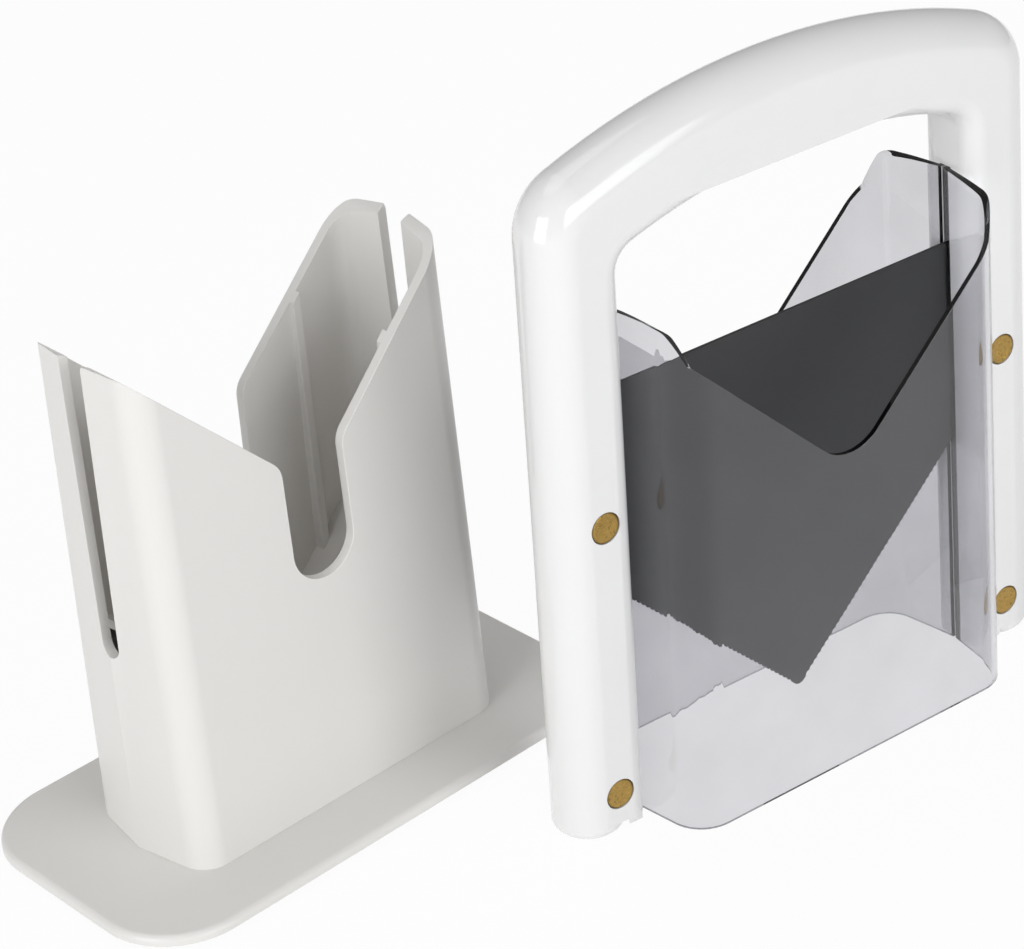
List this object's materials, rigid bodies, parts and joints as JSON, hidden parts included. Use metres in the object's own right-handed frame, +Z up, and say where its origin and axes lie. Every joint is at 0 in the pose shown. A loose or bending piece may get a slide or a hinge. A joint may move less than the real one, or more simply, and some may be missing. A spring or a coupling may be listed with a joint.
{
  "type": "bagel guillotine slicer",
  "caption": "Cradle on a base plate that holds a bagel on edge, with an arched handle beside it that carries a serrated blade between clear guards.",
  "frame": {"origin": "on the table under the middle of the whole as it stands, cradle and guillotine side by side", "axes": "+X along the cradle and base plate, +Y towards the back of the cradle, away from the guillotine, +Z up"},
  "size_m": [0.3342, 0.1996, 0.2476],
  "materials": {
    "base_plastic": "satin, warm white",
    "handle_plastic": "gloss, white",
    "clear_plastic": "clear plastic, polished",
    "blade_coating": "matt non-stick coating, dark grey",
    "brass": "worn, slightly rough",
    "rubber": "matt",
    "screw_steel": "zinc plated"
  },
  "bodies": {
    "cradle_base": {"base_plate": "base_plastic", "foot_pad_1": "rubber", "foot_pad_2": "rubber", "foot_pad_3": "rubber", "foot_pad_4": "rubber", "cradle": "base_plastic", "base_screw_1": "screw_steel", "base_screw_2": "screw_steel", "base_screw_3": "screw_steel", "base_screw_4": "screw_steel"},
    "guillotine": {"handle": "handle_plastic", "front_guard": "clear_plastic", "back_guard": "clear_plastic", "blade": "blade_coating", "rivet_pin_1": "brass", "rivet_pin_2": "brass", "rivet_pin_3": "brass", "rivet_pin_4": "brass", "rivet_tube_1": "brass", "rivet_tube_2": "brass", "rivet_tube_3": "brass", "rivet_tube_4": "brass"}
  },
  "joints": [
    {"name": "guillotine_lift", "type": "slide", "parent": "cradle_base", "child": "guillotine", "axis": [0, 0, 1], "range_m": [0, 0.2]}
  ]
}
